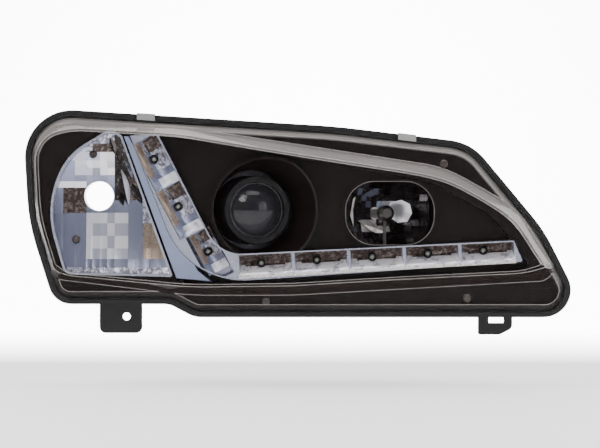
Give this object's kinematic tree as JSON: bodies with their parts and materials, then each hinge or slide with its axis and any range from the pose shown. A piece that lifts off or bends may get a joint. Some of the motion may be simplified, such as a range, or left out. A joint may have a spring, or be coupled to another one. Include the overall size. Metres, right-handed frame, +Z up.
{
  "type": "car headlight",
  "caption": "Swept-back car headlight: black housing, stepped clear lens, turn reflector, angled LED strip, aimable projector low beam and reflector high beam.",
  "frame": {"origin": "Centre of the outer bracket's bolt hole, on the bracket's front face.", "axes": "+X runs along the lamp's face towards the car's centre line, +Y runs rearwards square to the lens rim, +Z is up."},
  "size_m": [0.5187, 0.194, 0.2144],
  "materials": {
    "lens_clear": "clear polycarbonate",
    "bezel_black": "satin black",
    "housing_plastic": "moulded black",
    "motor_plastic": "moulded dark grey",
    "rubber": "black rubber",
    "spring_steel": "spring steel",
    "screw_zinc": "zinc plated",
    "reflector_chrome": "vacuum metallised",
    "fin_chrome": "satin metallised",
    "shield_metal": "bare steel",
    "circuit_board": "white solder mask",
    "bracket_black": "black coated steel",
    "stud_steel": "turned steel",
    "nylon": "natural nylon",
    "vent_plastic": "moulded black",
    "carrier_plastic": "glass-filled grey",
    "cast_holder": "cast, dark",
    "ring_black": "black",
    "projector_glass": "clear glass",
    "bulb_glass": "quartz glass",
    "bulb_metal": "plated steel",
    "pin_brass": "bare brass",
    "led_epoxy": "clear epoxy"
  },
  "bodies": {
    "lamp_body": {"bezel": "bezel_black", "bezel_screws": "screw_zinc", "bracket_screws": "screw_zinc", "divider_fin": "fin_chrome", "drl_tray": "reflector_chrome", "housing": "housing_plastic", "inner_bracket": "bracket_black", "led_1": "led_epoxy", "led_2": "led_epoxy", "led_3": "led_epoxy", "led_4": "led_epoxy", "led_5": "led_epoxy", "led_6": "led_epoxy", "led_7": "led_epoxy", "led_8": "led_epoxy", "led_board_lower": "circuit_board", "led_board_upper": "circuit_board", "lens": "lens_clear", "lens_clips": "spring_steel", "lens_seal": "rubber", "level_motor": "motor_plastic", "outer_bracket": "bracket_black", "pivot_stud": "stud_steel", "side_adjuster_bush": "nylon", "socket_pins": "pin_brass", "turn_reflector": "reflector_chrome", "turn_reflector_screws": "screw_zinc", "vent_cap": "vent_plastic", "wiring_socket": "housing_plastic"},
    "pivot": {"pivot_seat": "nylon"},
    "carrier_frame": {"carrier": "carrier_plastic", "carrier_screws": "screw_zinc", "low_lens_holder": "cast_holder", "low_lens_ring": "ring_black", "low_lens": "projector_glass", "low_shutter": "shield_metal", "low_reflector": "reflector_chrome", "low_bulb": "bulb_glass", "low_bulb_base": "bulb_metal", "high_reflector": "reflector_chrome", "high_bulb": "bulb_glass", "high_bulb_base": "bulb_metal", "high_bulb_shield": "shield_metal", "side_ball_seat": "nylon", "level_ball_seat": "nylon"},
    "low_clip": {"low_bulb_clip": "spring_steel"},
    "high_clip": {"high_bulb_clip": "spring_steel"},
    "side_rod": {"side_ball_stud": "stud_steel"},
    "side_wheel": {"side_adjuster_wheel": "nylon"},
    "level_rod": {"level_spindle": "stud_steel"},
    "level_dial": {"level_knob": "nylon"},
    "low_cover": {"low_cap": "rubber"},
    "high_cover": {"high_cap": "rubber"}
  },
  "joints": [
    {"name": "aim_yaw", "type": "hinge", "parent": "lamp_body", "child": "pivot", "pos_m": [0.17556, 0.03596, 0.143], "axis": [0, 0, 1], "range_deg": [-2.5, 2.5]},
    {"name": "aim_pitch", "type": "hinge", "parent": "pivot", "child": "carrier_frame", "pos_m": [0.17556, 0.03596, 0.143], "axis": [0.9511, 0.309, 0], "range_deg": [-3, 3]},
    {"name": "side_rod_slide", "type": "slide", "parent": "lamp_body", "child": "side_rod", "axis": [0.309, -0.9511, 0], "range_m": [-0.0052, 0.0052]},
    {"name": "side_wheel_turn", "type": "hinge", "parent": "lamp_body", "child": "side_wheel", "pos_m": [0.05741, 0.03069, 0.143], "axis": [0.309, -0.9511, 0], "range_deg": [-900, 900]},
    {"name": "level_rod_slide", "type": "slide", "parent": "lamp_body", "child": "level_rod", "axis": [0.309, -0.9511, 0], "range_m": [-0.0057, 0.0057]},
    {"name": "level_dial_turn", "type": "hinge", "parent": "lamp_body", "child": "level_dial", "pos_m": [0.1581, 0.0897, 0.038], "axis": [0.309, -0.9511, 0], "range_deg": [-1000, 1000]},
    {"name": "low_clip_swing", "type": "hinge", "parent": "carrier_frame", "child": "low_clip", "pos_m": [0.0928, 0.0771, 0.115], "axis": [0.9511, 0.309, 0], "range_deg": [0, 100]},
    {"name": "high_clip_swing", "type": "hinge", "parent": "carrier_frame", "child": "high_clip", "pos_m": [0.23587, 0.04464, 0.112], "axis": [0.9511, 0.309, 0], "range_deg": [0, 100]},
    {"name": "low_cap_pull", "type": "slide", "parent": "lamp_body", "child": "low_cover", "axis": [-0.309, 0.9511, 0], "range_m": [0, 0.06]},
    {"name": "high_cap_pull", "type": "slide", "parent": "lamp_body", "child": "high_cover", "axis": [-0.309, 0.9511, 0], "range_m": [0, 0.06]}
  ],
  "couplings": [
    {"joint": "side_rod_slide", "follows": "aim_yaw", "m_per_rad": 0.114},
    {"joint": "side_wheel_turn", "follows": "aim_yaw", "ratio": -358.14},
    {"joint": "level_rod_slide", "follows": "aim_pitch", "m_per_rad": -0.105},
    {"joint": "level_dial_turn", "follows": "aim_pitch", "ratio": 329.87}
  ]
}
